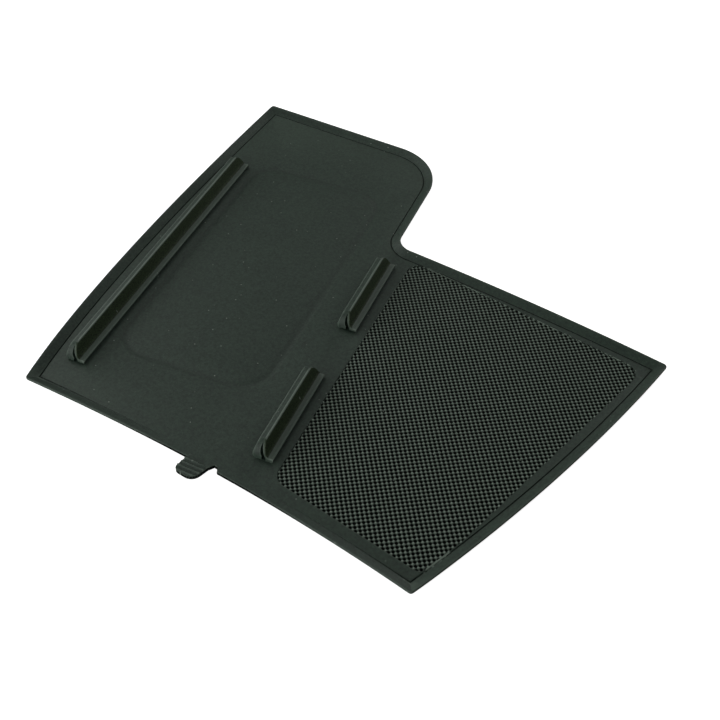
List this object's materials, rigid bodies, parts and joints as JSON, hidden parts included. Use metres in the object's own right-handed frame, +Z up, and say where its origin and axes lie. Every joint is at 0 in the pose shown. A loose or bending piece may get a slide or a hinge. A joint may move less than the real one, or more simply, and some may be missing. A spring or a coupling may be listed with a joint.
{
  "type": "console tray mat",
  "caption": "Thin moulded rubber tray mat with an upturned rim, a phone bay between raised ribs, a sunk knurled panel and a pull tab at the front edge.",
  "frame": {"origin": "centre of the bounding box, at the flat underside that the mat lies on", "axes": "+X to the right along the front edge's length, +Y from the front edge with the pull tab to the back, +Z up from the flat underside"},
  "size_m": [0.2352, 0.2094, 0.0087],
  "materials": {
    "rubber": "matt, fine-grained, greenish charcoal"
  },
  "bodies": {
    "root": {"mat": "rubber"}
  },
  "joints": []
}
